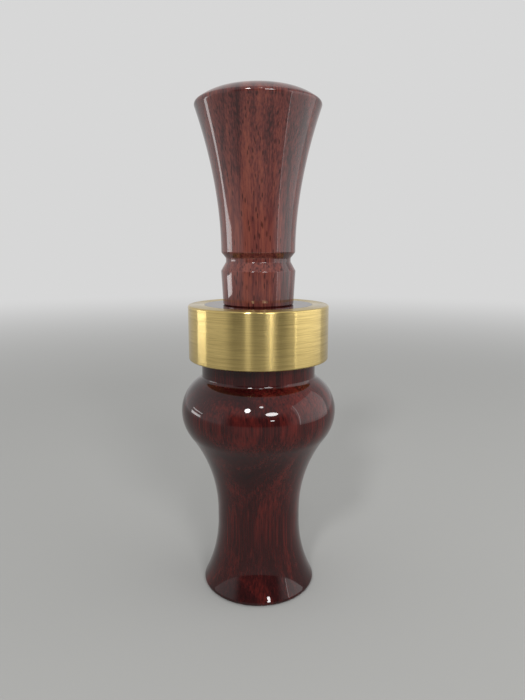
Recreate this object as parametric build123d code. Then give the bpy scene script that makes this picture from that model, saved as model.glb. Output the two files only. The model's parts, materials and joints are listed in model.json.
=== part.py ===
from build123d import *
import math
import os

# A hand-turned wooden duck call, standing on its mouthpiece. Millimetres, +Z up.
# The origin is the middle of the mouthpiece end, on the surface that the call stands on.
# The barrel is below, the stopper with its bell is above, and the reeds face +Y.

# Barrel, from the mouthpiece up
FOOT_RADIUS = 14.1  # widest radius of the mouthpiece lip
LIP_ROUND = 0.8  # rounding of the lip's outer edge
MOUTH_ROUND = 1.2  # rounding where the mouth hole opens on the lip
WAIST_RADIUS = 10.42  # narrowest radius of the barrel
WAIST_HEIGHT = 16.8  # mouthpiece end to the waist's lower end
WAIST_LENGTH = 2.4  # straight stretch of the waist
BULB_RADIUS = 19.05  # widest radius, from a 1.5 inch blank
BULB_RISE = 26.5  # waist's upper end to the widest place
BULB_UNDER_ROUND = 10.0  # round of the bulb's underside
SHOULDER_RISE = 8.5  # widest place to the root of the neck
NECK_LENGTH = 4.45  # root of the neck to the band's seat
NECK_COVE = 1.0  # hollow corner at the root of the neck
SEAT_WIDTH = 0.9  # ledge of the neck that the band sits on
MOUTH_BORE_RADIUS = 6.35  # half inch hole in the mouthpiece
CHAMBER_RADIUS = 7.9375  # five eighths inch hole for the insert
CHAMBER_WALL = 5.06  # wood between the chamber and the band

# Brass band
BAND_LENGTH = 13.2
BAND_WALL = 3.97
BAND_EDGE_ROUND = 0.45
GLUE_CLEARANCE = 0.03  # film of glue around a glued joint

# Stopper, from the barrel's top face up
SHOULDER_WIDTH = 0.56  # how far the stopper overhangs the chamber's edge
SHOULDER_CHAMFER = 0.25
COLLAR_FLARE = 0.43  # how much wider the collar grows below the groove
COLLAR_LENGTH = 8.05
GROOVE_DEPTH = 1.18  # lanyard groove
GROOVE_LOWER_SLOPE = 2.1  # height of the groove's lower wall
GROOVE_FLAT = 0.9  # height of the groove's floor
GROOVE_UPPER_SLOPE = 1.3  # height of the groove's upper wall
GROOVE_ROUND = 0.5
THROAT_INSET = 0.1  # how much slimmer the throat is than the collar
BELL_RADIUS = 14.75  # where the flare and the crown would meet
BELL_LENGTH = 33.1  # groove to the rim
BELL_FLARE_ANGLE = 19.0  # lean of the bell's side at the rim, degrees
RIM_ROUND = 0.9
CROWN_RISE = 3.05  # rim to the top of the crown
BELL_MOUTH_RADIUS = 6.4
BELL_MOUTH_ROUND = 1.3
EXHAUST_RADIUS = 4.0  # straight hole below the bell's mouth
EXHAUST_LENGTH = 8.0

# Tone board, from the barrel's top face down
PLUG_LENGTH = 22.0  # round part that fills the chamber
PLUG_CLEARANCE = 0.09
SPIGOT_RADIUS = 5.5  # round tail glued into the stopper
SPIGOT_LENGTH = 8.0
SPIGOT_END_GAP = 0.2
TONGUE_LENGTH = 25.0  # half-round part under the reeds
TONGUE_RELIEF = 0.4  # how much slimmer the tongue is than the plug
TIP_CORNER_RISE = 3.0  # how far the tip is rounded back at its corners
TIP_GAP = 1.2  # how far the bed falls away from the reeds at the tip
TIP_CLEARANCE = 2.0  # room in the chamber past the tip
TONE_HOLE_RADIUS = 3.0
TONE_HOLE_END = 4.0  # solid tip past the end of the tone hole
BED_HEIGHT = 1.0  # reed bed above the axis

# Seal rings
SEAL_SECTION = 1.5  # thickness of the ring's round section
SEAL_CLEARANCE = 0.02
SEAL_SIDE_ROOM = 0.3  # how much wider the groove is than the ring
SEAL_DEPTH = 3.6  # barrel's top face to the middle of the first ring
SEAL_SPACING = 5.0

# Reeds and the wedge that holds them
REED_THICKNESS = 0.25
REED_SIDE_ROOM = 0.2  # between the reeds and the sides of their slot
REED_TIP_INSET = 0.5  # how far the long reed stops short of the tip
REED_STEP = 3.0  # how much shorter the upper reed is
REED_CORNER_RISE = 2.2
DIMPLE_RADIUS = 0.9  # dent pressed into the upper reed
DIMPLE_DEPTH = 0.1
DIMPLE_DISTANCE = 6.0  # from the wedge's front to the dent
SLOT_DEPTH = 9.0  # slot in the plug that takes the reeds and the wedge
SLOT_BACK_HEIGHT = 2.2
SLOT_WALL = 0.75  # least plug wall beside the slot
WEDGE_ANGLE = 3.8  # slope of the wedge's top, degrees
WEDGE_OVERHANG = 4.0  # how far the wedge stands out of the slot
WEDGE_CLEARANCE = 0.02
WEDGE_EDGE_ROUND = 0.8

# Heights and radii that follow
waist_top = WAIST_HEIGHT + WAIST_LENGTH
bulb_height = waist_top + BULB_RISE
neck_height = bulb_height + SHOULDER_RISE
seat_height = neck_height + NECK_LENGTH
barrel_top = seat_height + BAND_LENGTH

tenon_radius = CHAMBER_RADIUS + CHAMBER_WALL
neck_radius = tenon_radius + SEAT_WIDTH
band_bore_radius = tenon_radius + GLUE_CLEARANCE
band_radius = band_bore_radius + BAND_WALL

plug_radius = CHAMBER_RADIUS - PLUG_CLEARANCE
plug_front = barrel_top - PLUG_LENGTH
tip_height = plug_front - TONGUE_LENGTH
tongue_radius = plug_radius - TONGUE_RELIEF
spigot_top = barrel_top + SPIGOT_LENGTH
chamber_floor = tip_height - TIP_CLEARANCE
mouth_bore_top = chamber_floor - (CHAMBER_RADIUS - MOUTH_BORE_RADIUS)

shoulder_radius = CHAMBER_RADIUS + SHOULDER_WIDTH
collar_radius = shoulder_radius + COLLAR_FLARE
groove_radius = collar_radius - GROOVE_DEPTH
throat_radius = collar_radius - THROAT_INSET
groove_bottom = barrel_top + COLLAR_LENGTH
groove_floor = groove_bottom + GROOVE_LOWER_SLOPE
groove_roof = groove_floor + GROOVE_FLAT
groove_top = groove_roof + GROOVE_UPPER_SLOPE
rim_height = groove_top + BELL_LENGTH
bell_top = rim_height + CROWN_RISE
socket_radius = SPIGOT_RADIUS + GLUE_CLEARANCE
socket_top = spigot_top + SPIGOT_END_GAP
exhaust_top = socket_top + EXHAUST_LENGTH

seal_seat_radius = CHAMBER_RADIUS - SEAL_SECTION - 2 * SEAL_CLEARANCE
seal_ring_radius = seal_seat_radius + SEAL_CLEARANCE + SEAL_SECTION / 2
seal_groove_width = SEAL_SECTION + SEAL_SIDE_ROOM
seal_heights = [barrel_top - SEAL_DEPTH - ring * SEAL_SPACING for ring in range(2)]

slot_end = plug_front + SLOT_DEPTH
wedge_front = plug_front - WEDGE_OVERHANG
wedge_slope = math.tan(math.radians(WEDGE_ANGLE))
slot_front_height = SLOT_BACK_HEIGHT + SLOT_DEPTH * wedge_slope
slot_corner_reach = plug_radius - SLOT_WALL
slot_half_width = math.sqrt(slot_corner_reach**2 - (BED_HEIGHT + slot_front_height) ** 2)
reed_half_width = slot_half_width - REED_SIDE_ROOM
long_reed_tip = tip_height + REED_TIP_INSET
short_reed_tip = long_reed_tip + REED_STEP
upper_reed_bed = BED_HEIGHT + REED_THICKNESS
wedge_bed = upper_reed_bed + REED_THICKNESS


def hollow_meets_round(waist, crest, crest_round):
    """Where a hollow arc, upright at the waist, runs into a round that is upright at its crest."""
    step = crest.X - waist.X
    reach = (step**2 + (crest.Y - waist.Y) ** 2) / (2 * step)
    hollow_centre = waist + Vector(reach - crest_round, 0)
    round_centre = crest - Vector(crest_round, 0)
    return round_centre + (hollow_centre - round_centre) * (crest_round / reach)


def round_corner(sketch, corner, radius):
    """Round the corner of an outline that lies at the given point."""
    fillet(sketch.vertices().sort_by_distance(corner)[0], radius)


def make_barrel():
    """Mouthpiece, waist, bulb, neck and the tenon under the band, bored right through."""
    waist = Vector(WAIST_RADIUS, WAIST_HEIGHT)
    waist_end = Vector(WAIST_RADIUS, waist_top)
    lip_crest = Vector(FOOT_RADIUS, LIP_ROUND)
    lip_joint = hollow_meets_round(waist, lip_crest, LIP_ROUND)
    lip_foot = (FOOT_RADIUS - LIP_ROUND, 0)
    bulb_crest = Vector(BULB_RADIUS, bulb_height)
    bulb_joint = hollow_meets_round(waist_end, bulb_crest, BULB_UNDER_ROUND)
    neck_root = (neck_radius, neck_height)
    mouth_edge = (MOUTH_BORE_RADIUS, 0)
    with BuildPart() as barrel:
        with BuildSketch(Plane.XZ) as section:
            with BuildLine():
                TangentArc(lip_crest, lip_foot, tangent=(0, -1))
                TangentArc(lip_crest, lip_joint, tangent=(0, 1))
                TangentArc(waist, lip_joint, tangent=(0, -1))
                Line(waist, waist_end)
                TangentArc(waist_end, bulb_joint, tangent=(0, 1))
                TangentArc(bulb_crest, bulb_joint, tangent=(0, -1))
                TangentArc(bulb_crest, neck_root, tangent=(0, 1))
                Polyline(
                    neck_root,
                    (neck_radius, seat_height),
                    (tenon_radius, seat_height),
                    (tenon_radius, barrel_top),
                    (CHAMBER_RADIUS, barrel_top),
                    (CHAMBER_RADIUS, chamber_floor),
                    (MOUTH_BORE_RADIUS, mouth_bore_top),
                    mouth_edge,
                    lip_foot,
                )
            make_face()
            round_corner(section, neck_root, NECK_COVE)
            round_corner(section, mouth_edge, MOUTH_ROUND)
        revolve(axis=Axis.Z)
    return barrel.part


def make_brass_band():
    """Heavy ring around the tenon, flush with the barrel's top face."""
    with BuildPart() as band:
        with BuildSketch(Plane.XZ) as section:
            with Locations((band_bore_radius, seat_height)):
                Rectangle(BAND_WALL, BAND_LENGTH, align=(Align.MIN, Align.MIN))
            round_corner(section, (band_radius, seat_height), BAND_EDGE_ROUND)
            round_corner(section, (band_radius, barrel_top), BAND_EDGE_ROUND)
        revolve(axis=Axis.Z)
    return band.part


def make_stopper():
    """Collar, lanyard groove and bell, with the tone board's socket and the exhaust hole."""
    flare_lean = math.radians(BELL_FLARE_ANGLE)
    rim = (BELL_RADIUS, rim_height)
    shoulder = (shoulder_radius, barrel_top)
    bell_mouth = (BELL_MOUTH_RADIUS, bell_top)
    groove_corners = [
        (collar_radius, groove_bottom),
        (groove_radius, groove_floor),
        (groove_radius, groove_roof),
        (throat_radius, groove_top),
    ]
    with BuildPart() as stopper:
        with BuildSketch(Plane.XZ) as section:
            with BuildLine():
                Polyline(shoulder, *groove_corners)
                Spline(
                    groove_corners[-1],
                    rim,
                    tangents=[(0, 1), (math.sin(flare_lean), math.cos(flare_lean))],
                )
                TangentArc(bell_mouth, rim, tangent=(1, 0))
                TangentArc((EXHAUST_RADIUS, exhaust_top), bell_mouth, tangent=(0, 1))
                Polyline(
                    (EXHAUST_RADIUS, exhaust_top),
                    (EXHAUST_RADIUS, socket_top),
                    (socket_radius, socket_top),
                    (socket_radius, barrel_top),
                    shoulder,
                )
            make_face()
            round_corner(section, rim, RIM_ROUND)
            round_corner(section, bell_mouth, BELL_MOUTH_ROUND)
            for corner in groove_corners:
                round_corner(section, corner, GROOVE_ROUND)
            chamfer(section.vertices().sort_by_distance(shoulder)[0], SHOULDER_CHAMFER)
        revolve(axis=Axis.Z)
    return stopper.part


def make_tone_board():
    """Turned plug and spigot, with a half-round tongue whose bed falls away towards its tip."""
    stock_end = tip_height - TIP_CLEARANCE / 2
    with BuildPart() as board:
        with BuildSketch(Plane.XZ):
            with BuildLine():
                Polyline(
                    (0, stock_end),
                    (tongue_radius, stock_end),
                    (tongue_radius, plug_front),
                    (plug_radius, plug_front),
                    (plug_radius, barrel_top),
                    (SPIGOT_RADIUS, barrel_top),
                    (SPIGOT_RADIUS, spigot_top),
                    (0, spigot_top),
                    close=True,
                )
            make_face()
        revolve(axis=Axis.Z)

        # Grooves for the seal rings
        with BuildSketch(Plane.XZ):
            for height in seal_heights:
                with Locations((seal_seat_radius, height)):
                    Rectangle(SEAL_SECTION * 2, seal_groove_width, align=(Align.MIN, Align.CENTER))
        revolve(axis=Axis.Z, mode=Mode.SUBTRACT)

        # Reed bed: flat under the wedge, then one long arc down to the tip
        with BuildSketch(Plane.YZ):
            with BuildLine():
                TangentArc(
                    (BED_HEIGHT, wedge_front),
                    (BED_HEIGHT - TIP_GAP, tip_height),
                    tangent=(0, -1),
                )
                Polyline(
                    (BED_HEIGHT - TIP_GAP, tip_height),
                    (BED_HEIGHT - TIP_GAP, stock_end),
                    (CHAMBER_RADIUS, stock_end),
                    (CHAMBER_RADIUS, plug_front),
                    (BED_HEIGHT, plug_front),
                    (BED_HEIGHT, wedge_front),
                )
            make_face()
        extrude(amount=CHAMBER_RADIUS, both=True, mode=Mode.SUBTRACT)

        # Slot for the reeds and the wedge
        with BuildSketch(Plane.YZ):
            with BuildLine():
                Polyline(
                    (BED_HEIGHT, plug_front),
                    (BED_HEIGHT, slot_end),
                    (BED_HEIGHT + SLOT_BACK_HEIGHT, slot_end),
                    (BED_HEIGHT + slot_front_height, plug_front),
                    close=True,
                )
            make_face()
        extrude(amount=slot_half_width, both=True, mode=Mode.SUBTRACT)

        # Tone hole, with a round end short of the tip
        with BuildSketch(Plane.XZ):
            with BuildLine():
                TangentArc(
                    (0, tip_height + TONE_HOLE_END),
                    (TONE_HOLE_RADIUS, tip_height + TONE_HOLE_END + TONE_HOLE_RADIUS),
                    tangent=(1, 0),
                )
                Polyline(
                    (TONE_HOLE_RADIUS, tip_height + TONE_HOLE_END + TONE_HOLE_RADIUS),
                    (TONE_HOLE_RADIUS, spigot_top),
                    (0, spigot_top),
                    (0, tip_height + TONE_HOLE_END),
                )
            make_face()
        revolve(axis=Axis.Z, mode=Mode.SUBTRACT)

        # Rounded tip, as seen from the reeds' side
        with BuildSketch(Plane.XZ):
            with BuildLine():
                corner_height = tip_height + TIP_CORNER_RISE
                ThreePointArc(
                    (-plug_radius, corner_height),
                    (0, tip_height),
                    (plug_radius, corner_height),
                )
                Polyline(
                    (plug_radius, corner_height),
                    (plug_radius, chamber_floor),
                    (-plug_radius, chamber_floor),
                    (-plug_radius, corner_height),
                )
            make_face()
        extrude(amount=CHAMBER_RADIUS, both=True, mode=Mode.SUBTRACT)
    return board.part


def make_seal_ring(height):
    """Rubber ring that grips the chamber wall."""
    with BuildPart() as ring:
        with Locations((0, 0, height)):
            Torus(seal_ring_radius, SEAL_SECTION / 2)
    return ring.part


def make_reed(bed, tip):
    """Strip of film with a rounded tip, lying on the given bed."""
    corner_height = tip + REED_CORNER_RISE
    with BuildPart() as reed:
        with BuildSketch(Plane.XZ.offset(-bed)):
            with BuildLine():
                ThreePointArc((-reed_half_width, corner_height), (0, tip), (reed_half_width, corner_height))
                Polyline(
                    (reed_half_width, corner_height),
                    (reed_half_width, slot_end),
                    (-reed_half_width, slot_end),
                    (-reed_half_width, corner_height),
                )
            make_face()
        extrude(amount=-REED_THICKNESS)
    return reed.part


def make_short_reed():
    """Upper reed, with the small dent that keeps the two reeds from sticking together."""
    ball_radius = (DIMPLE_RADIUS**2 + DIMPLE_DEPTH**2) / (2 * DIMPLE_DEPTH)
    ball_centre = wedge_bed - DIMPLE_DEPTH + ball_radius
    with BuildPart() as reed:
        add(make_reed(upper_reed_bed, short_reed_tip))
        with Locations((0, ball_centre, wedge_front - DIMPLE_DISTANCE)):
            Sphere(ball_radius, mode=Mode.SUBTRACT)
    return reed.part


def make_wedge():
    """Cork wedge that jams the reeds into the slot."""
    back_top = BED_HEIGHT + SLOT_BACK_HEIGHT - WEDGE_CLEARANCE
    front_top = back_top + (slot_end - wedge_front) * wedge_slope
    with BuildPart() as wedge:
        with BuildSketch(Plane.YZ) as side:
            with BuildLine():
                Polyline(
                    (wedge_bed, slot_end),
                    (back_top, slot_end),
                    (front_top, wedge_front),
                    (wedge_bed, wedge_front),
                    close=True,
                )
            make_face()
            round_corner(side, (front_top, wedge_front), WEDGE_EDGE_ROUND)
        extrude(amount=slot_half_width - WEDGE_CLEARANCE, both=True)
    return wedge.part


pieces = {
    "barrel": make_barrel(),
    "brass_band": make_brass_band(),
    "stopper": make_stopper(),
    "tone_board": make_tone_board(),
    "upper_seal_ring": make_seal_ring(seal_heights[0]),
    "lower_seal_ring": make_seal_ring(seal_heights[1]),
    "long_reed": make_reed(BED_HEIGHT, long_reed_tip),
    "short_reed": make_short_reed(),
    "reed_wedge": make_wedge(),
}

os.makedirs("parts", exist_ok=True)
for node, piece in pieces.items():
    export_step(piece, f"parts/{node}.step")
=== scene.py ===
import json
import math

import bmesh
import bpy
from bpy.props import FloatProperty, FloatVectorProperty, IntProperty, PointerProperty
from bpy.types import Operator, Panel, PropertyGroup
from mathutils import Matrix, Vector


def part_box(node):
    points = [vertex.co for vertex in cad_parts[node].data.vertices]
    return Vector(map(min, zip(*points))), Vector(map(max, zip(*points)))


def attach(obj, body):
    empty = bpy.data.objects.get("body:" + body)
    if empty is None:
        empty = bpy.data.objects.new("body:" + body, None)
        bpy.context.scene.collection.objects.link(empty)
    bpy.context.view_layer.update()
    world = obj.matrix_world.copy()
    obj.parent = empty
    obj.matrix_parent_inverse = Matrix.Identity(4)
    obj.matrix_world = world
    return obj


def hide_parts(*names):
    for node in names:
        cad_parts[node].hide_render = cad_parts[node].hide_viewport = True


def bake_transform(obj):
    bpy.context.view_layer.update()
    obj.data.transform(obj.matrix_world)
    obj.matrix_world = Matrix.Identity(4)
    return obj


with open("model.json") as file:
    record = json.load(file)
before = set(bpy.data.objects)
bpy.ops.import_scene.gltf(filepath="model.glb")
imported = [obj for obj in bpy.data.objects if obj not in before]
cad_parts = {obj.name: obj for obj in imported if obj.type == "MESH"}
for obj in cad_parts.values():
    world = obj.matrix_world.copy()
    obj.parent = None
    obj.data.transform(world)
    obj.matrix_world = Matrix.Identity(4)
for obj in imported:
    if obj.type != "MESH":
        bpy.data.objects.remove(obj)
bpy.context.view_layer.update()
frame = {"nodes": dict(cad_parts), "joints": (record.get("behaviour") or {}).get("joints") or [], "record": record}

bl_info = {
    "name": "Duck Call",
    "version": (1, 0, 0),
    "blender": (4, 5, 0),
    "location": "View3D > Sidebar > Duck Call",
    "description": "Finishes a turned wooden duck call around its packed frame",
    "category": "Object",
}

MM = 0.001

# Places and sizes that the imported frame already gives, in metres
barrel_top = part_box("barrel")[1].z
bulb_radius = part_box("barrel")[1].x
band_low, band_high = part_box("brass_band")
mount_sizes = {mount["name"]: mount["dims"] for mount in frame["record"]["mounts"]}
mouth_bore_radius = mount_sizes["mouth_bore"]["r_mm"] * MM
exhaust_radius = mount_sizes["exhaust_bore"]["r_mm"] * MM
joint_places = {joint["name"]: joint.get("pos_m") for joint in frame["joints"]}

# How finely round stretches are drawn
ARC_STEP = math.radians(5)
LONGEST_STEP = 0.5 * MM
EDGE_SUPPORT = 0.12 * MM
MERGE_DISTANCE = 0.5e-6
CREASE_ANGLE = math.radians(28)


def length(name, description, metres):
    """A size that a user can change, shown in the scene's length unit."""
    return FloatProperty(
        name=name, description=description, default=metres, min=0, unit="LENGTH", precision=5
    )


def turn_angle(name, description, degrees):
    """An angle that a user can change."""
    return FloatProperty(
        name=name, description=description, default=math.radians(degrees), subtype="ANGLE"
    )


def share(name, description, default):
    """A strength that a user can change."""
    return FloatProperty(name=name, description=description, default=default, min=0, subtype="FACTOR")


def colour(name, description, default):
    """A colour that a user can change, as linear red, green and blue."""
    return FloatVectorProperty(
        name=name, description=description, default=default, min=0, max=1, size=3, subtype="COLOR"
    )


class BarrelSizes(PropertyGroup):
    """The barrel, from the mouthpiece up."""

    foot_radius: length("Foot radius", "Widest radius of the mouthpiece lip", 14.1 * MM)
    lip_round: length("Lip round", "Rounding of the lip's outer edge", 0.8 * MM)
    mouth_round: length("Mouth round", "Rounding where the mouth hole opens on the lip", 1.2 * MM)
    waist_radius: length("Waist radius", "Narrowest radius of the barrel", 10.42 * MM)
    waist_height: length("Waist height", "Mouthpiece end to the waist's lower end", 16.8 * MM)
    waist_length: length("Waist length", "Straight stretch of the waist", 2.4 * MM)
    bulb_height: length("Bulb height", "Mouthpiece end to the widest place", 45.7 * MM)
    under_round: length("Under round", "Round of the bulb's underside", 10 * MM)
    neck_radius: length("Neck radius", "Radius of the neck below the band", 13.8975 * MM)
    neck_height: length("Neck height", "Mouthpiece end to the root of the neck", 54.2 * MM)
    neck_cove: length("Neck cove", "Hollow corner at the root of the neck", 1 * MM)
    tenon_radius: length("Tenon radius", "Radius of the wood inside the band", 12.9975 * MM)
    chamber_radius: length("Chamber radius", "Radius of the hole for the insert", 7.9375 * MM)
    chamber_floor: length("Chamber floor", "Mouthpiece end to the chamber's lower end", 22.85 * MM)
    edge_ease: length("Edge ease", "Sanding of the chamber's upper edge", 0.15 * MM)


class BandSizes(PropertyGroup):
    """The brass band."""

    bore_radius: length("Bore radius", "Radius of the band's hole", 13.0275 * MM)
    edge_round: length("Edge round", "Rounding of the band's outer edges", 0.45 * MM)


class StopperSizes(PropertyGroup):
    """The stopper, from the barrel's top face up."""

    shoulder_radius: length("Shoulder radius", "Radius of the seat on the barrel", 8.4975 * MM)
    shoulder_chamfer: length("Shoulder chamfer", "Bevel at the shoulder's edge", 0.25 * MM)
    collar_radius: length("Collar radius", "Radius of the collar below the groove", 8.9275 * MM)
    collar_length: length("Collar length", "Shoulder to the lanyard groove", 8.05 * MM)
    groove_depth: length("Groove depth", "Depth of the lanyard groove", 1.18 * MM)
    groove_lower: length("Groove lower wall", "Height of the groove's lower wall", 2.1 * MM)
    groove_flat: length("Groove floor", "Height of the groove's floor", 0.9 * MM)
    groove_upper: length("Groove upper wall", "Height of the groove's upper wall", 1.3 * MM)
    groove_round: length("Groove round", "Rounding of the groove's corners", 0.5 * MM)
    throat_inset: length("Throat inset", "How much slimmer the throat is than the collar", 0.1 * MM)
    bell_radius: length("Bell radius", "Where the flare and the crown would meet", 14.75 * MM)
    bell_length: length("Bell length", "Groove to the rim", 33.1 * MM)
    flare_angle: turn_angle("Flare angle", "Lean of the bell's side at the rim", 19)
    rim_round: length("Rim round", "Rounding of the rim", 0.9 * MM)
    crown_rise: length("Crown rise", "Rim to the top of the crown", 3.05 * MM)
    mouth_radius: length("Mouth radius", "Radius of the bell's mouth", 6.4 * MM)
    mouth_round: length("Mouth round", "Rounding of the bell's mouth", 1.3 * MM)
    socket_radius: length("Socket radius", "Radius of the hole for the tone board", 5.53 * MM)
    socket_depth: length("Socket depth", "Depth of the hole for the tone board", 8.2 * MM)
    exhaust_length: length("Exhaust length", "Straight hole below the bell's mouth", 8 * MM)


class ReedSizes(PropertyGroup):
    """The two film reeds."""

    tip_rise: length("Tip rise", "How far the tip is rounded back at its corners", 2.2 * MM)
    dent_radius: length("Dent radius", "Radius of the dent in the upper reed", 0.9 * MM)
    dent_depth: length("Dent depth", "Depth of the dent in the upper reed", 0.1 * MM)
    dent_distance: length("Dent distance", "From the wedge's front to the dent", 6 * MM)
    gap: length("Gap", "Gap between a film and the piece above it", 0.01 * MM)


class WoodLook(PropertyGroup):
    """One piece of hardwood. The defaults are the barrel's."""

    dark: colour("Dark", "Dark layers and lines", (0.009, 0.0012, 0.0015))
    main: colour("Main", "Body of the wood", (0.028, 0.003, 0.0032))
    light: colour("Light", "Light layers", (0.11, 0.0115, 0.0085))
    pore: colour("Pore", "Open pores", (0.006, 0.0012, 0.0012))
    layer_width: length("Layer width", "Thickness of a growth layer", 2.6 * MM)
    line_width: length("Line width", "Width of a fine line", 0.45 * MM)
    line_length: length("Line length", "Length of a fine line", 16 * MM)
    pore_width: length("Pore width", "Space from pore to pore, across the grain", 0.5 * MM)
    pore_length: length("Pore length", "Space from pore to pore, along the grain", 4 * MM)
    layer_share: share("Layer share", "How strongly the layers show", 0.26)
    line_share: share("Line share", "How strongly the fine lines show", 0.36)
    pore_share: share("Pore share", "How strongly the pores show", 0.5)
    grain_turn: turn_angle("Grain turn", "Turn of the board's layers about the axis", 112)
    grain_lean: turn_angle("Grain lean", "Lean of the grain from the axis", 1.2)
    grain_shift: length("Grain shift", "Which part of the plank the piece is cut from", 8 * MM)
    drift_length: length("Drift length", "How far along the grain the colour drifts", 48 * MM)
    # Where the drift sits also places painted shade: on the stopper it makes the wood darker towards the top.
    drift_and_shade_shift: length("Drift shift", "Where along the grain the drift starts", 19.2 * MM)
    drift_share: share("Drift share", "How strongly the drift shows", 0.9)
    lacquer_index: FloatProperty(
        name="Lacquer index", description="How strongly the lacquer reflects", default=1.42, min=1
    )


# The stopper's wood, where it differs from the barrel's
STOPPER_WOOD = {
    "dark": (0.036, 0.0125, 0.0125),
    "main": (0.11, 0.0275, 0.0245),
    "light": (0.2, 0.0535, 0.036),
    "layer_width": 1.7 * MM,
    "line_width": 0.32 * MM,
    "line_length": 45 * MM,
    "pore_width": 0.7 * MM,
    "pore_length": 3 * MM,
    "layer_share": 0.4,
    "line_share": 0.6,
    "pore_share": 0.65,
    "grain_turn": math.radians(2),
    "grain_shift": 16 * MM,
    # Painted shade: this drift makes the stopper's wood darker towards the bell's top, which faces down and gets
    # less light.
    "drift_length": 60 * MM,
    "drift_and_shade_shift": 195 * MM,
    "lacquer_index": 1.5,
}


class Finishes(PropertyGroup):
    """Colours of the other pieces."""

    brass: colour("Brass", "Bright lines of the brushed brass", (0.7, 0.535, 0.215))
    brass_deep: colour("Brass deep", "Dull lines of the brushed brass", (0.47, 0.35, 0.132))
    acetal: colour("Acetal", "Tone board", (0.74, 0.68, 0.53))
    rubber: colour("Rubber", "Seal rings", (0.018, 0.018, 0.019))
    film: colour("Film", "Reeds", (0.74, 0.78, 0.77))
    cork: colour("Cork", "Light cork grains", (0.50, 0.31, 0.16))
    cork_deep: colour("Cork deep", "Dark cork grains", (0.20, 0.10, 0.045))


class StageLook(PropertyGroup):
    """Camera, floor and room."""

    camera_distance: length("Camera distance", "Camera to the call's axis", 136.9 * MM)
    camera_height: length("Camera height", "Floor to the camera", 85.65 * MM)
    camera_shift: length("Camera offset", "Camera to the right of the call's axis", 1 * MM)
    camera_tilt: turn_angle("Camera tilt", "How far the camera looks down", 10.41)
    camera_lens: FloatProperty(name="Lens", description="Focal length", default=29.07, unit="CAMERA")
    floor: colour("Floor", "Floor", (0.38, 0.38, 0.37))
    fade_start: length("Fade start", "Call to where the floor starts to fade into the room", 0.12)
    fade_end: length("Fade end", "Call to where the floor has faded into the room", 0.9)
    room: share("Room", "Brightness of the room", 0.68)
    camera_side: share("Camera side", "Brightness of the room around the camera", 0.14)
    left_wall: share("Left wall", "How much brighter the room is at the left", 0.2)
    right_wall: share("Right wall", "How much brighter the room is at the right", 0.2)


class DuckCallSettings(PropertyGroup):
    """All the sizes and colours of the call."""

    barrel: PointerProperty(type=BarrelSizes)
    band: PointerProperty(type=BandSizes)
    stopper: PointerProperty(type=StopperSizes)
    reeds: PointerProperty(type=ReedSizes)
    barrel_wood: PointerProperty(type=WoodLook)
    stopper_wood: PointerProperty(type=WoodLook)
    finishes: PointerProperty(type=Finishes)
    stage: PointerProperty(type=StageLook)
    steps: IntProperty(name="Steps", description="Steps around a turned piece", default=256, min=16)


class Value:
    """A node's output that can be used in an expression: each operator adds a Math node."""

    def __init__(self, sheet, socket):
        self.sheet = sheet
        self.socket = socket

    def math(self, operation, *others):
        """A Math node with this value first."""
        sockets = dict(enumerate((self, *others)))
        return self.sheet.add("ShaderNodeMath", {"operation": operation}, sockets)

    def reflected(self, operation, other):
        """A Math node with this value second, for an expression that starts with a number."""
        return self.sheet.add("ShaderNodeMath", {"operation": operation}, {0: other, 1: self})

    def __add__(self, other):
        return self.math("ADD", other)

    def __sub__(self, other):
        return self.math("SUBTRACT", other)

    def __mul__(self, other):
        return self.math("MULTIPLY", other)

    def __truediv__(self, other):
        return self.math("DIVIDE", other)

    def __mod__(self, other):
        return self.math("MODULO", other)

    def __radd__(self, other):
        return self.reflected("ADD", other)

    def __rsub__(self, other):
        return self.reflected("SUBTRACT", other)

    def __rmul__(self, other):
        return self.reflected("MULTIPLY", other)

    def __rtruediv__(self, other):
        return self.reflected("DIVIDE", other)

    def __rmod__(self, other):
        return self.reflected("MODULO", other)


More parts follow.
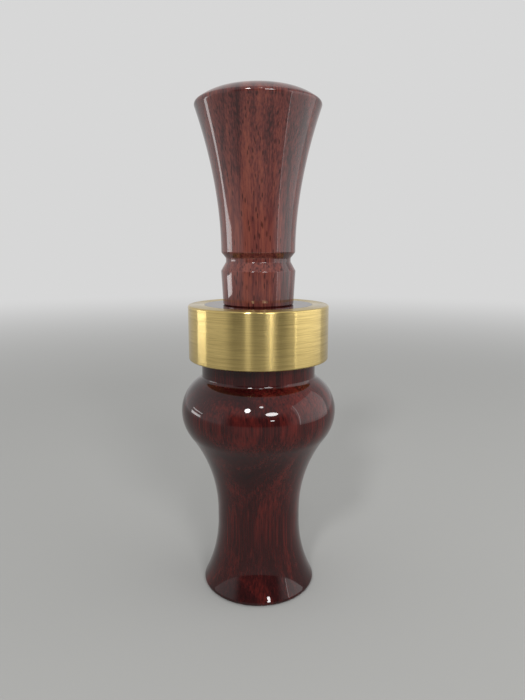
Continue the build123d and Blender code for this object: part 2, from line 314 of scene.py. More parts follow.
class Sheet:
    """A node tree that is being drawn."""

    def __init__(self, tree):
        self.tree = tree

    def find(self, sockets, key):
        """A socket by its place, its identifier or its name."""
        if isinstance(key, int):
            return sockets[key]
        for label in ("identifier", "name"):
            for socket in sockets:
                if getattr(socket, label) == key:
                    return socket
        raise KeyError(f"no socket {key} among {[socket.name for socket in sockets]}")

    def add(self, kind, settings=None, sockets=None, output=0):
        """A new node: its settings first, then the values or links of its sockets."""
        node = self.tree.nodes.new(kind)
        for key, value in (settings or {}).items():
            if key == "stops":
                self.set_stops(node.color_ramp, value)
            else:
                setattr(node, key, value)
        for key, value in (sockets or {}).items():
            socket = self.find(node.inputs, key)
            if isinstance(value, Value):
                self.tree.links.new(value.socket, socket)
            else:
                socket.default_value = value
        return Value(self, self.find(node.outputs, output)) if len(node.outputs) else None

    def set_stops(self, ramp, stops):
        """The places and colours of a colour ramp."""
        while len(ramp.elements) < len(stops):
            ramp.elements.new(1)
        for element, (position, tint) in zip(ramp.elements, stops):
            element.position = position
            element.color = (*tint, 1)

    def mix(self, factor, first, second):
        """One colour over another."""
        return self.add(
            "ShaderNodeMix",
            {"data_type": "RGBA"},
            {"Factor_Float": factor, "A_Color": first, "B_Color": second},
            "Result_Color",
        )

    def between(self, value, low, high):
        """0 up to the low limit, 1 from the high limit, and smooth between them."""
        return self.add(
            "ShaderNodeMapRange",
            {"interpolation_type": "SMOOTHSTEP"},
            {"Value": value, "From Min": low, "From Max": high},
        )

    def stretched(self, spacing, turn=(0, 0, 0), shift=(0, 0, 0)):
        """Object coordinates, turned and then measured in the given spacing along each axis."""
        place = self.add("ShaderNodeTexCoord", output="Object")
        turned = self.add("ShaderNodeMapping", sockets={"Vector": place, "Rotation": turn})
        scale = [1 / step for step in spacing]
        sockets = {"Vector": turned, "Scale": scale, "Location": shift}
        return self.add("ShaderNodeMapping", sockets=sockets)

    def noise(self, vector, detail=2, roughness=0.5, distortion=0):
        """Soft noise with one cell to each unit of the vector."""
        return self.add(
            "ShaderNodeTexNoise",
            sockets={
                "Vector": vector,
                "Scale": 1,
                "Detail": detail,
                "Roughness": roughness,
                "Distortion": distortion,
            },
        )

    def bump(self, height, strength, distance):
        """A surface normal that follows a height."""
        return self.add(
            "ShaderNodeBump", sockets={"Height": height, "Strength": strength, "Distance": distance}
        )


def new_material(name):
    """A material with an empty sheet."""
    material = bpy.data.materials.new(name)
    material.use_nodes = True
    material.node_tree.nodes.clear()
    return material, Sheet(material.node_tree)


def close_material(sheet, **sockets):
    """Put a Principled shader at the end of a sheet. Underscores in the names stand for spaces."""
    named = {key.replace("_", " "): value for key, value in sockets.items()}
    shader = sheet.add("ShaderNodeBsdfPrincipled", sockets=named)
    sheet.add("ShaderNodeOutputMaterial", sockets={"Surface": shader})


def lacquered_wood(name, look):
    """Straight-grained hardwood with dark streaks and short open pores, under a clear gloss lacquer."""
    material, sheet = new_material(name)
    turn = (look.grain_lean, 0, look.grain_turn)
    layer, line, long = look.layer_width, look.line_width, look.line_length
    shift, start = look.grain_shift / layer, look.drift_and_shade_shift / look.drift_length
    # A slow drift of the colour, flat sheets of growth and thin threads, all longest along the grain. On the
    # stopper the drift also paints shade: its wood is darker towards the bell's top.
    # The plain numbers in the shifts only choose which stretch of the noise shows.
    drift_place = sheet.stretched((layer * 4, layer * 5, look.drift_length), turn, (shift, 2.6, start))
    layer_place = sheet.stretched((layer, layer * 6, long * 6), turn, (shift, 0.7, 1.3))
    line_place = sheet.stretched((line, line, long), turn, (7.3, 2.1, shift))
    drift = sheet.noise(drift_place)
    layers = sheet.noise(layer_place, detail=4, roughness=0.65, distortion=0.15)
    lines = sheet.noise(line_place, roughness=0.6)
    tone = 0.5 + (drift - 0.5) * look.drift_share
    tone = tone + (layers - 0.5) * look.layer_share * 4 + (lines - 0.5) * look.line_share * 2
    body = sheet.add(
        "ShaderNodeValToRGB",
        {"stops": [(0.15, look.dark), (0.5, look.main), (0.9, look.light)]},
        {"Fac": tone},
    )
    # Short pores, which gather in the lighter layers
    pore_place = sheet.stretched((look.pore_width, look.pore_width, look.pore_length), turn)
    pore_sockets = {"Vector": pore_place, "Scale": 1}
    from_pore = sheet.add("ShaderNodeTexVoronoi", sockets=pore_sockets, output="Distance")
    pore = (1 - sheet.between(from_pore, 0.14, 0.34)) * sheet.between(layers, 0.36, 0.52)
    tint = sheet.mix(pore * look.pore_share, body, (*look.pore, 1))
    close_material(
        sheet,
        Base_Color=tint,
        Roughness=0.4 + lines * 0.2,
        Specular_IOR_Level=0.0,
        Coat_Weight=1.0,
        Coat_Roughness=0.03,
        Coat_IOR=look.lacquer_index,
        Normal=sheet.bump(lines - pore, 0.1, 0.05 * MM),
    )
    return material


def brushed_brass(name, finishes):
    """Brass that was brushed while it turned, so that its highlights are drawn out along its height."""
    material, sheet = new_material(name)
    long_lines = sheet.noise(sheet.stretched((14 * MM, 14 * MM, 0.22 * MM)), detail=3, roughness=0.6)
    short_place = sheet.stretched((4 * MM, 4 * MM, 0.09 * MM), shift=(3, 1, 5))
    short_lines = sheet.noise(short_place, roughness=0.6)
    lines = long_lines * 0.6 + short_lines * 0.4
    strength = sheet.between(lines, 0.3, 0.7)
    close_material(
        sheet,
        Base_Color=sheet.mix(strength, (*finishes.brass_deep, 1), (*finishes.brass, 1)),
        Metallic=1.0,
        Roughness=0.25 - strength * 0.05,
        Anisotropic=1.0,
        Anisotropic_Rotation=0.25,
        Normal=sheet.bump(lines, 0.25, 0.02 * MM),
    )
    return material


def machined_acetal(name, finishes):
    """Ivory plastic with faint tool lines around it."""
    material, sheet = new_material(name)
    lines = sheet.noise(sheet.stretched((9 * MM, 9 * MM, 0.16 * MM)))
    cloud = sheet.noise(sheet.stretched((5 * MM, 5 * MM, 9 * MM)), detail=3, roughness=0.6)
    warm = [part * weight for part, weight in zip(finishes.acetal, (0.93, 0.88, 0.78))]
    close_material(
        sheet,
        Base_Color=sheet.mix(sheet.between(cloud, 0.35, 0.7), (*finishes.acetal, 1), (*warm, 1)),
        Roughness=0.3 + lines * 0.2,
        Subsurface_Weight=0.15,
        Subsurface_Radius=(0.9, 0.7, 0.4),
        Subsurface_Scale=1 * MM,
        Normal=sheet.bump(lines, 0.12, 0.02 * MM),
    )
    return material


def seal_rubber(name, finishes):
    """Smooth black rubber with a slight bloom."""
    material, sheet = new_material(name)
    bloom = sheet.noise(sheet.stretched((1.6 * MM, 1.6 * MM, 1.6 * MM)), detail=4, roughness=0.65)
    skin = sheet.noise(sheet.stretched((0.12 * MM, 0.12 * MM, 0.12 * MM)))
    pale = [part * 2.2 for part in finishes.rubber]
    close_material(
        sheet,
        Base_Color=sheet.mix(sheet.between(bloom, 0.45, 0.75), (*finishes.rubber, 1), (*pale, 1)),
        Roughness=0.42 + bloom * 0.25,
        Normal=sheet.bump(skin, 0.1, 0.02 * MM),
    )
    return material


def frosted_film(name, finishes):
    """Milky reed film, rubbed along its length."""
    material, sheet = new_material(name)
    rub = sheet.noise(sheet.stretched((0.15 * MM, 0.15 * MM, 6 * MM)), detail=3, roughness=0.6)
    dull = [part * 0.86 for part in finishes.film]
    close_material(
        sheet,
        Base_Color=sheet.mix(rub, (*dull, 1), (*finishes.film, 1)),
        Roughness=0.26 + rub * 0.22,
        Transmission_Weight=0.3,
        Normal=sheet.bump(rub, 0.08, 0.01 * MM),
    )
    return material


def natural_cork(name, finishes):
    """Pressed cork: grains of mixed tan with dark seams and specks."""
    material, sheet = new_material(name)
    place = sheet.stretched((0.7 * MM, 0.7 * MM, 0.8 * MM))
    wavy = sheet.noise(sheet.stretched((0.4 * MM, 0.4 * MM, 0.4 * MM)), detail=3, roughness=0.6)
    grain = sheet.add("ShaderNodeTexVoronoi", sockets={"Vector": place, "Scale": 1}, output="Color")
    seam = sheet.add(
        "ShaderNodeTexVoronoi",
        {"feature": "DISTANCE_TO_EDGE"},
        {"Vector": place, "Scale": 1},
        "Distance",
    )
    pick = sheet.add("ShaderNodeSeparateColor", sockets={"Color": grain})
    tan = sheet.mix(pick * 0.7 + wavy * 0.4, (*finishes.cork_deep, 1), (*finishes.cork, 1))
    dark = [part * 0.35 for part in finishes.cork_deep]
    joint = (1 - sheet.between(seam, 0.02, 0.12)) * 0.6
    speck = sheet.between(wavy, 0.66, 0.74) * 0.7
    close_material(
        sheet,
        Base_Color=sheet.mix(joint.math("MAXIMUM", speck), tan, (*dark, 1)),
        Roughness=0.78 + wavy * 0.15,
        Specular_IOR_Level=0.25,
        Normal=sheet.bump(wavy - joint - speck, 0.5, 0.06 * MM),
    )
    return material


def cross(first, second):
    """How far the second of two flat vectors lies to the left of the first."""
    return first.x * second.y - first.y * second.x


def direction_at(points, end):
    """Direction of a row of points at its first or last place."""
    first, second = (points[0], points[1]) if end == 0 else (points[-2], points[-1])
    return (second - first).normalized()


def nearest_on(points, place):
    """The nearest place on a row of points, with how far it is and the index of the point before it."""
    found = None
    for index, (first, second) in enumerate(zip(points, points[1:])):
        run = second - first
        along = min(1, max(0, (place - first).dot(run) / run.length_squared))
        spot = first + run * along
        gap = (place - spot).length
        if found is None or gap < found[0]:
            found = (gap, spot, index)
    return found


class Outline:
    """The half section of a turned piece, drawn as with a pen. Points are (radius, height)."""

    def __init__(self, start, heading=(0, 1)):
        self.place = Vector(start)
        self.heading = Vector(heading).normalized()
        self.strokes = []
        self.roundings = []

    def stroke(self, points, heading, rounding):
        """Keep a stroke, and how far the corner at its end is rounded."""
        self.strokes.append(points)
        self.roundings.append(rounding)
        self.place = points[-1]
        self.heading = heading

    def line(self, end, rounding=0):
        """Straight on, with a support point near each end so that the shading stays flat."""
        start, end = self.place, Vector(end)
        near = min(EDGE_SUPPORT / (end - start).length, 0.3)
        points = [start.lerp(end, part) for part in (0, near, 1 - near, 1)]
        self.stroke(points, (end - start).normalized(), rounding)

    def arc(self, end, rounding=0):
        """Round to the end, starting along the present heading."""
        start, chord = self.place, Vector(end) - self.place
        turn = 2 * math.atan2(cross(self.heading, chord), self.heading.dot(chord))
        radius = chord.length / (2 * math.sin(turn / 2))
        centre = start + Vector((-self.heading.y, self.heading.x)) * radius
        steps = math.ceil(max(abs(turn) / ARC_STEP, abs(turn * radius) / LONGEST_STEP))
        turns = [Matrix.Rotation(turn * step / steps, 2) for step in range(steps + 1)]
        points = [centre + matrix @ (start - centre) for matrix in turns]
        self.stroke(points, turns[-1] @ self.heading, rounding)

    def arc_into(self, end, arrival, rounding=0):
        """Round to the end, arriving there along the given heading."""
        chord = (Vector(end) - self.place).normalized()
        arrival = Vector(arrival)
        self.heading = chord * (2 * chord.dot(arrival)) - arrival
        self.arc(end, rounding)

    def flare(self, end, arrival, rounding=0):
        """A smooth curve from the present heading to the arrival heading."""
        start, end, arrival = self.place, Vector(end), Vector(arrival).normalized()
        pull = (end - start).length / 3
        hull = (start, start + self.heading * pull, end - arrival * pull, end)
        steps = math.ceil((end - start).length / LONGEST_STEP)
        points = []
        for step in range(steps + 1):
            t = step / steps
            weights = ((1 - t) ** 3, 3 * t * (1 - t) ** 2, 3 * t * t * (1 - t), t**3)
            parts = (corner * weight for corner, weight in zip(hull, weights))
            points.append(sum(parts, Vector((0, 0))))
        self.stroke(points, arrival, rounding)

    def round_off(self, before, after, radius):
        """Cut back two strokes that meet in a corner, and return the round between them."""
        side = math.copysign(1, cross(direction_at(before, -1), direction_at(after, 0)))

        def centre_at(back):
            """Middle of a round that touches the first stroke this far back from the corner."""
            left, index = back, len(before) - 1
            while index > 1 and left > (before[index] - before[index - 1]).length:
                left -= (before[index] - before[index - 1]).length
                index -= 1
            heading = (before[index] - before[index - 1]).normalized()
            touch = before[index] - heading * left
            return touch + Vector((-heading.y, heading.x)) * side * radius, touch, index

        low, high = 0, sum((second - first).length for first, second in zip(before, before[1:]))
        for _ in range(50):
            middle = (low + high) / 2
            near = nearest_on(after, centre_at(middle)[0])[0] < radius
            low, high = (middle, high) if near else (low, middle)
        centre, touch, index = centre_at(high)
        _, landing, after_index = nearest_on(after, centre)
        first_arm, last_arm = touch - centre, landing - centre
        turn = math.atan2(cross(first_arm, last_arm), first_arm.dot(last_arm))
        steps = max(4, math.ceil(abs(turn) / ARC_STEP))
        arms = [Matrix.Rotation(turn * step / steps, 2) @ first_arm for step in range(steps + 1)]
        before[index:] = [touch]
        after[: after_index + 1] = [landing]
        return [centre + arm for arm in arms]

    def section(self):
        """All the points in order, with the corners rounded and the first point repeated at the end."""
        rounds = []
        for index, radius in enumerate(self.roundings):
            before, after = self.strokes[index], self.strokes[(index + 1) % len(self.strokes)]
            rounds.append(self.round_off(before, after, radius) if radius else [])
        points = []
        for stroke, curve in zip(self.strokes, rounds):
            for point in stroke + curve:
                if not points or (point - points[-1]).length > MERGE_DISTANCE:
                    points.append(point)
        return points


def hollow_meets_round(waist, crest, crest_round):
    """Where a hollow arc, upright at the waist, runs into a round that is upright at its crest."""
    step = crest.x - waist.x
    reach = (step**2 + (crest.y - waist.y) ** 2) / (2 * step)
    hollow_centre = waist + Vector((reach - crest_round, 0))
    round_centre = crest - Vector((crest_round, 0))
    return round_centre + (hollow_centre - round_centre) * (crest_round / reach)


def turning_tree():
    """Geometry Nodes that spin a half section about the upright axis."""
    name = "Turned piece"
    if name in bpy.data.node_groups:
        return bpy.data.node_groups[name]
    tree = bpy.data.node_groups.new(name, "GeometryNodeTree")
    tree.is_modifier = True
    for label, kind in (("Section", "Geometry"), ("Steps Around", "Int"), ("Material", "Material")):
        tree.interface.new_socket(label, in_out="INPUT", socket_type=f"NodeSocket{kind}")
    tree.interface.new_socket("Piece", in_out="OUTPUT", socket_type="NodeSocketGeometry")
    sheet = Sheet(tree)
    inputs = tree.nodes.new("NodeGroupInput")
    section, steps, material = (Value(sheet, sheet.find(inputs.outputs, index)) for index in range(3))
    count = sheet.add(
        "GeometryNodeAttributeDomainSize", {"component": "MESH"}, {"Geometry": section}, "Point Count"
    )
    grid = sheet.add("GeometryNodeMeshGrid", sockets={"Vertices X": steps + 1, "Vertices Y": count})
    index = sheet.add("GeometryNodeInputIndex")
    place = sheet.add(
        "GeometryNodeSampleIndex",
        {"data_type": "FLOAT_VECTOR"},
        {"Geometry": section, "Value": sheet.add("GeometryNodeInputPosition"), "Index": index % count},
    )
    radius = sheet.add("ShaderNodeSeparateXYZ", sockets={"Vector": place})
    height = sheet.add("ShaderNodeSeparateXYZ", sockets={"Vector": place}, output="Z")
    angle = (index / count).math("FLOOR") * math.tau / steps
    spun = sheet.add(
        "ShaderNodeCombineXYZ",
        sockets={"X": radius * angle.math("COSINE"), "Y": radius * angle.math("SINE"), "Z": height},
    )
    skin = sheet.add("GeometryNodeSetPosition", sockets={"Geometry": grid, "Position": spun})
    closed = sheet.add(
        "GeometryNodeMergeByDistance", sockets={"Geometry": skin, "Distance": MERGE_DISTANCE}
    )
    plain = sheet.add("GeometryNodeRealizeInstances", sockets={"Geometry": closed})
    dressed = sheet.add("GeometryNodeSetMaterial", sockets={"Geometry": plain, "Material": material})
    sheet.add("NodeGroupOutput", sockets={"Piece": dressed})
    return tree


def shade_and_link(name, mesh):
    """Turn a mesh's faces outwards, shade it with crisp corners and put it in the scene."""
    work = bmesh.new()
    work.from_mesh(mesh)
    bmesh.ops.remove_doubles(work, verts=work.verts, dist=MERGE_DISTANCE)
    bmesh.ops.recalc_face_normals(work, faces=work.faces)
    work.to_mesh(mesh)
    work.free()
    mesh.shade_smooth()
    mesh.set_sharp_from_angle(angle=CREASE_ANGLE)
    mesh.name = name
    piece = bpy.data.objects.new(name, mesh)
    bpy.context.scene.collection.objects.link(piece)
    return piece


def turn_piece(name, outline, material):
    """Spin an outline into a closed piece."""
    section = bpy.data.meshes.new(name + "_section")
    section.from_pydata([(point.x, 0, point.y) for point in outline.section()], [], [])
    blank = bpy.data.objects.new(name + "_blank", section)
    bpy.context.scene.collection.objects.link(blank)
    spin = blank.modifiers.new("Turning", "NODES")
    spin.node_group = turning_tree()
    sizes = {"Steps Around": bpy.context.scene.duck_call.steps, "Material": material}
    for item in spin.node_group.interface.items_tree:
        if item.name in sizes:
            spin[item.identifier] = sizes[item.name]
    evaluated = blank.evaluated_get(bpy.context.evaluated_depsgraph_get())
    mesh = bpy.data.meshes.new_from_object(evaluated)
    bpy.data.objects.remove(blank)
    bpy.data.meshes.remove(section)
    if not mesh.polygons:
        raise RuntimeError(f"{name} came out empty")
    return shade_and_link(name, mesh)


def copy_solid(name, node, material):
    """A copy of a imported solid, with its loose triangles merged and its round faces shaded smooth."""
    solid = frame["nodes"][node].data
    mesh = bpy.data.meshes.new(name)
    corners = [tuple(face.vertices) for face in solid.polygons]
    mesh.from_pydata([tuple(vertex.co) for vertex in solid.vertices], [], corners)
    mesh.materials.append(material)
    return shade_and_link(name, mesh)


def hand_over(piece, body, node):
    """The piece rides on a body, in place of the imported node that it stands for."""
    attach(piece, body)
    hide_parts(node)


class DUCKCALL_OT_barrel(Operator):
    """Turn the barrel: lip, waist, bulb, neck and the tenon under the band"""

    bl_idname = "duck_call.barrel"
    bl_label = "Barrel"

    def execute(self, context):
        settings = context.scene.duck_call
        size = settings.barrel
        waist = Vector((size.waist_radius, size.waist_height))
        waist_end = waist + Vector((0, size.waist_length))
        lip_crest = Vector((size.foot_radius, size.lip_round))
        bulb_crest = Vector((bulb_radius, size.bulb_height))
        lip_foot = (size.foot_radius - size.lip_round, 0)
        taper = size.chamber_radius - mouth_bore_radius
        outline = Outline(lip_foot, heading=(1, 0))
        outline.arc(lip_crest)
        outline.arc(hollow_meets_round(waist, lip_crest, size.lip_round))
        outline.arc(waist)
        outline.line(waist_end)
        outline.arc(hollow_meets_round(waist_end, bulb_crest, size.under_round))
        outline.arc(bulb_crest)
        outline.arc((size.neck_radius, size.neck_height), size.neck_cove)
        outline.line((size.neck_radius, band_low.z))
        outline.line((size.tenon_radius, band_low.z))
        outline.line((size.tenon_radius, barrel_top))
        outline.line((size.chamber_radius, barrel_top), size.edge_ease)
        outline.line((size.chamber_radius, size.chamber_floor))
        outline.line((mouth_bore_radius, size.chamber_floor - taper))
        outline.line((mouth_bore_radius, 0), size.mouth_round)
        outline.line(lip_foot)
        wood = lacquered_wood("barrel lacquered wood", settings.barrel_wood)
        hand_over(turn_piece("turned_barrel", outline, wood), "barrel", "barrel")
        return {"FINISHED"}


class DUCKCALL_OT_band(Operator):
    """Turn the brass band"""

    bl_idname = "duck_call.band"
    bl_label = "Brass band"

    def execute(self, context):
        settings = context.scene.duck_call
        size = settings.band
        outline = Outline((size.bore_radius, band_low.z))
        outline.line((band_high.x, band_low.z), size.edge_round)
        outline.line((band_high.x, band_high.z), size.edge_round)
        outline.line((size.bore_radius, band_high.z))
        outline.line((size.bore_radius, band_low.z))
        brass = brushed_brass("brushed band brass", settings.finishes)
        hand_over(turn_piece("brushed_band", outline, brass), "barrel", "brass_band")
        return {"FINISHED"}


class DUCKCALL_OT_stopper(Operator):
    """Turn the stopper: collar, lanyard groove and bell"""

    bl_idname = "duck_call.stopper"
    bl_label = "Stopper"

    def execute(self, context):
        settings = context.scene.duck_call
        size = settings.stopper
        groove_bottom = barrel_top + size.collar_length
        groove_floor = groove_bottom + size.groove_lower
        groove_roof = groove_floor + size.groove_flat
        groove_top = groove_roof + size.groove_upper
        groove_radius = size.collar_radius - size.groove_depth
        throat = (size.collar_radius - size.throat_inset, groove_top)
        rim = (size.bell_radius, groove_top + size.bell_length)
        bell_mouth = (size.mouth_radius, rim[1] + size.crown_rise)
        socket_top = barrel_top + size.socket_depth
        shoulder = (size.shoulder_radius - size.shoulder_chamfer, barrel_top)
        outline = Outline(shoulder)
        outline.line((size.shoulder_radius, barrel_top + size.shoulder_chamfer))
        outline.line((size.collar_radius, groove_bottom), size.groove_round)
        outline.line((groove_radius, groove_floor), size.groove_round)
        outline.line((groove_radius, groove_roof), size.groove_round)
        outline.line(throat, size.groove_round)
        outline.heading = Vector((0, 1))
        outline.flare(rim, (math.sin(size.flare_angle), math.cos(size.flare_angle)), size.rim_round)
        outline.arc_into(bell_mouth, (-1, 0), size.mouth_round)
        outline.arc_into((exhaust_radius, socket_top + size.exhaust_length), (0, -1))
        outline.line((exhaust_radius, socket_top))
        outline.line((size.socket_radius, socket_top))
        outline.line((size.socket_radius, barrel_top))
        outline.line(shoulder)
        wood = lacquered_wood("stopper lacquered wood", settings.stopper_wood)
        hand_over(turn_piece("belled_stopper", outline, wood), "insert", "stopper")
        return {"FINISHED"}


class DUCKCALL_OT_tone_board(Operator):
    """Finish the tone board"""

    bl_idname = "duck_call.tone_board"
    bl_label = "Tone board"

    def execute(self, context):
        acetal = machined_acetal("machined acetal", context.scene.duck_call.finishes)
        board = copy_solid("machined_tone_board", "tone_board", acetal)
        hand_over(board, "insert", "tone_board")
        return {"FINISHED"}


class DUCKCALL_OT_seal_rings(Operator):
    """Turn the two seal rings"""

    bl_idname = "duck_call.seal_rings"
    bl_label = "Seal rings"

    def execute(self, context):
        rubber = seal_rubber("seal rubber", context.scene.duck_call.finishes)
        for node in ("upper_seal_ring", "lower_seal_ring"):
            low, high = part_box(node)
            thick = (high.z - low.z) / 2
            middle, height = high.x - thick, (low.z + high.z) / 2
            outline = Outline((middle + thick, height))
            outline.arc((middle, height + thick))
            outline.arc((middle - thick, height))
            outline.arc((middle, height - thick))
            outline.arc((middle + thick, height))
            hand_over(turn_piece("rubber_" + node, outline, rubber), "seals", node)
        return {"FINISHED"}


class DUCKCALL_OT_reeds(Operator):
    """Cut the two film reeds as flat strips. The wedge's front edge, where the real reeds bend, places the dent in
    the upper reed.
    """

    bl_idname = "duck_call.reeds"
    bl_label = "Reeds"

    columns = 36
    rows = 90

    def strip(self, name, node, size, dent_height, material):
        """A film strip with a rounded tip. Its upper face has a dent if a height is given for one."""
        low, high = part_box(node)
        top = high.y - size.gap
        tip_radius = (high.x**2 + size.tip_rise**2) / (2 * size.tip_rise)
        work = bmesh.new()

        def place(column, row, face):
            """One point of the upper or under face. Rows run from the back to the rounded tip."""
            x = high.x * (2 * column / self.columns - 1)
            tip = low.z + tip_radius - math.sqrt(tip_radius**2 - x**2)
            z = high.z + (tip - high.z) * row / self.rows
            if face == "under" or dent_height is None:
                return x, low.y if face == "under" else top, z
            apart = math.hypot(x, z - dent_height) / size.dent_radius
            return x, top - size.dent_depth * max(0, 1 - apart**2), z

        def sheet_of(face):
            """All the points of one face, in rows."""
            return [
                [work.verts.new(place(column, row, face)) for column in range(self.columns + 1)]
                for row in range(self.rows + 1)
            ]

        def edge_of(layer):
            """The points around the edge of one face, in order."""
            right, left = [row[-1] for row in layer], [row[0] for row in layer]
            return layer[0] + right[1:] + layer[-1][-2::-1] + left[-2:0:-1]

        under, upper = sheet_of("under"), sheet_of("upper")
        for layer in (under, upper):
            for row, after in zip(layer, layer[1:]):
                for left in range(self.columns):
                    work.faces.new((row[left], row[left + 1], after[left + 1], after[left]))
        edges = list(zip(edge_of(under), edge_of(upper)))
        for (first, first_up), (second, second_up) in zip(edges, edges[1:] + edges[:1]):
            work.faces.new((first, second, second_up, first_up))
        mesh = bpy.data.meshes.new(name)
        work.to_mesh(mesh)
        work.free()
        mesh.materials.append(material)
        return shade_and_link(name, mesh)

    def execute(self, context):
        settings = context.scene.duck_call
        film = frosted_film("frosted reed film", settings.finishes)
        clamp_line = {"long_reed": "reed_flex", "short_reed": "short_reed_flex"}
        for node, joint in clamp_line.items():
            hinge = Vector(joint_places[joint])
            dent = hinge.z - settings.reeds.dent_distance if node == "short_reed" else None
            reed = self.strip("film_" + node, node, settings.reeds, dent, film)
            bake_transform(reed)
            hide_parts(node)
        return {"FINISHED"}


class DUCKCALL_OT_wedge(Operator):
    """Finish the cork wedge that holds the reeds"""

    bl_idname = "duck_call.wedge"
    bl_label = "Reed wedge"

    def execute(self, context):
        cork = natural_cork("natural cork", context.scene.duck_call.finishes)
        hand_over(copy_solid("cork_wedge", "reed_wedge", cork), "wedge", "reed_wedge")
        return {"FINISHED"}


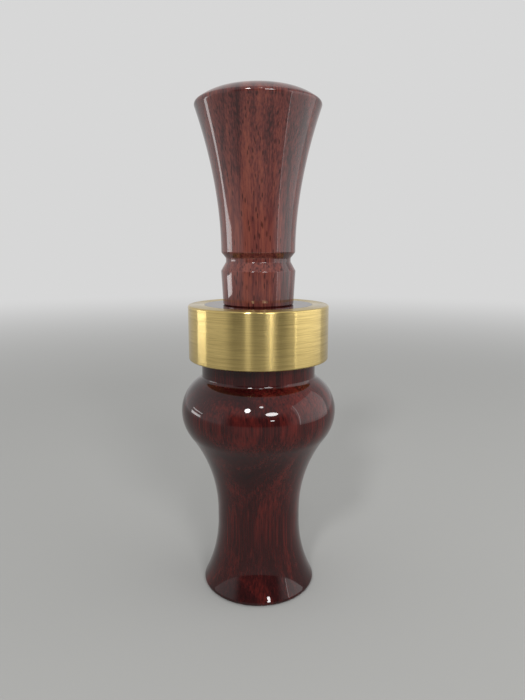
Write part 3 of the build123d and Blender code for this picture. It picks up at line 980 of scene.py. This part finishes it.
class DUCKCALL_OT_stage(Operator):
    """Set the floor, the room, the lamps and the camera"""

    bl_idname = "duck_call.stage"
    bl_label = "Stage"

    look_at = Vector((0, 0, 60 * MM))
    floor_reach = 4.0
    # Where the parts of the room begin and end, along the direction from the call
    camera_side_ends = (-0.8, -0.55)
    ceiling_starts = (0.25, 0.55)
    wall_starts = (0.55, 0.95)
    lamps = (
        # name, shape, azimuth, elevation and spread in degrees,
        # distance, width and height in metres, power in watts
        ("front left lamp", "ELLIPSE", -18, 38, 180, 1.0, 0.13, 0.2, 3),
        ("front right lamp", "ELLIPSE", 21, 28, 180, 1.0, 0.3, 0.16, 3),
        ("front high lamp", "DISK", 6, 49, 180, 1.0, 0.09, 0.09, 0.4),
        ("front low lamp", "ELLIPSE", 20, 10.8, 180, 1.0, 0.11, 0.04, 0.3),
        ("left upper strip", "RECTANGLE", -97.5, 3.06, 80, 0.3, 0.122, 0.009, 0.0031),
        ("left lower strip", "RECTANGLE", -100, -3.6, 80, 0.3, 0.117, 0.021, 0.0085),
        ("right soft panel", "RECTANGLE", 88, 14, 120, 0.29, 0.34, 0.27, 0.125),
        ("right edge strip", "RECTANGLE", 60, 14, 120, 0.31, 0.005, 0.27, 0.0066),
    )

    def bearing(self, azimuth, elevation):
        """Direction from the call. Azimuth 0 is towards the camera and grows to the right."""
        around, up = math.radians(azimuth), math.radians(elevation)
        return Vector((math.sin(around) * math.cos(up), -math.cos(around) * math.cos(up), math.sin(up)))

    def add_lamp(self, name, shape, azimuth, elevation, spread, distance, width, height, power):
        """An area lamp that faces the middle of the call."""
        light = bpy.data.lights.new(name, "AREA")
        light.shape, light.spread = shape, math.radians(spread)
        light.size, light.size_y, light.energy = width, height, power
        lamp = bpy.data.objects.new(name, light)
        lamp.location = self.look_at + self.bearing(azimuth, elevation) * distance
        lamp.rotation_euler = (self.look_at - lamp.location).to_track_quat("-Z", "Y").to_euler()
        lamp.visible_camera = False
        bpy.context.scene.collection.objects.link(lamp)

    def add_camera(self, look):
        """The camera, at the photo's angle."""
        camera = bpy.data.cameras.new("camera")
        camera.lens = look.camera_lens
        camera.clip_start = 5 * MM
        viewer = bpy.data.objects.new("camera", camera)
        viewer.location = (look.camera_shift, -look.camera_distance, look.camera_height)
        viewer.rotation_euler = (math.pi / 2 - look.camera_tilt, 0, 0)
        bpy.context.scene.collection.objects.link(viewer)
        bpy.context.scene.camera = viewer

    def room_level(self, sheet, direction, look):
        """Brightness of a pale room that is lighter at both sides and dim around the camera."""
        across, along, up = (
            sheet.add("ShaderNodeSeparateXYZ", sockets={"Vector": direction}, output=axis)
            for axis in "XYZ"
        )
        beyond = sheet.between(along, *self.camera_side_ends)
        above = sheet.between(up, *self.ceiling_starts)
        left = sheet.between(0 - across, *self.wall_starts)
        right = sheet.between(across, *self.wall_starts)
        level = look.camera_side + beyond.math("MAXIMUM", above) * (look.room - look.camera_side)
        return level + left * look.left_wall + right * look.right_wall

    def add_floor(self, look):
        """A pale floor that fades into the room a good way off."""
        material, sheet = new_material("pale floor")
        camera, glossy, through = (
            sheet.add("ShaderNodeLightPath", output=f"Is {ray} Ray")
            for ray in ("Camera", "Glossy", "Transmission")
        )
        seen = camera.math("MAXIMUM", glossy).math("MAXIMUM", through)
        place = sheet.add("ShaderNodeTexCoord", output="Object")
        distance = sheet.add("ShaderNodeVectorMath", {"operation": "LENGTH"}, {0: place}, "Value")
        direction = sheet.add("ShaderNodeVectorMath", {"operation": "NORMALIZE"}, {0: place}, "Vector")
        far = seen * sheet.between(distance, look.fade_start, look.fade_end)
        level = self.room_level(sheet, direction, look)
        matt = sheet.add("ShaderNodeBsdfDiffuse", sockets={"Color": (*look.floor, 1)})
        room = sheet.add("ShaderNodeEmission", sockets={"Strength": level})
        surface = sheet.add("ShaderNodeMixShader", sockets={0: far, 1: matt, 2: room})
        sheet.add("ShaderNodeOutputMaterial", sockets={"Surface": surface})
        reach = self.floor_reach
        corners = [(-reach, -reach, 0), (reach, -reach, 0), (reach, reach, 0), (-reach, reach, 0)]
        mesh = bpy.data.meshes.new("floor")
        mesh.from_pydata(corners, [], [(0, 1, 2, 3)])
        mesh.materials.append(material)
        floor = bpy.data.objects.new("floor", mesh)
        bpy.context.scene.collection.objects.link(floor)

    def add_room(self, look):
        """The room's light on the call."""
        world = bpy.data.worlds.new("room")
        world.use_nodes = True
        world.node_tree.nodes.clear()
        sheet = Sheet(world.node_tree)
        direction = sheet.add("ShaderNodeTexCoord", output="Generated")
        level = self.room_level(sheet, direction, look)
        room = sheet.add("ShaderNodeBackground", sockets={"Color": (1, 1, 1, 1), "Strength": level})
        sheet.add("ShaderNodeOutputWorld", sockets={"Surface": room})
        bpy.context.scene.world = world

    def execute(self, context):
        look = context.scene.duck_call.stage
        self.add_camera(look)
        for lamp in self.lamps:
            self.add_lamp(*lamp)
        self.add_floor(look)
        self.add_room(look)
        context.scene.view_settings.view_transform = "Standard"
        return {"FINISHED"}


OPERATORS = (
    DUCKCALL_OT_barrel,
    DUCKCALL_OT_band,
    DUCKCALL_OT_stopper,
    DUCKCALL_OT_tone_board,
    DUCKCALL_OT_seal_rings,
    DUCKCALL_OT_reeds,
    DUCKCALL_OT_wedge,
    DUCKCALL_OT_stage,
)


class DUCKCALL_PT_pieces(Panel):
    """Lists the pieces of the call"""

    bl_idname = "DUCKCALL_PT_pieces"
    bl_label = "Duck Call"
    bl_space_type = "VIEW_3D"
    bl_region_type = "UI"
    bl_category = "Duck Call"

    def draw(self, context):
        for operator in OPERATORS:
            self.layout.operator(operator.bl_idname)


GROUPS = (
    BarrelSizes,
    BandSizes,
    StopperSizes,
    ReedSizes,
    WoodLook,
    Finishes,
    StageLook,
    DuckCallSettings,
)
CLASSES = (*GROUPS, *OPERATORS, DUCKCALL_PT_pieces)


def register():
    for group in CLASSES:
        bpy.utils.register_class(group)
    bpy.types.Scene.duck_call = PointerProperty(type=DuckCallSettings)


def unregister():
    del bpy.types.Scene.duck_call
    for group in reversed(CLASSES):
        bpy.utils.unregister_class(group)


def main():
    register()
    stopper_wood = bpy.context.scene.duck_call.stopper_wood
    for name, value in STOPPER_WOOD.items():
        setattr(stopper_wood, name, value)
    for operator in OPERATORS:
        piece = operator.bl_idname.split(".")[1]
        getattr(bpy.ops.duck_call, piece)()
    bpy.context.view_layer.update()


if __name__ == "__main__":
    main()
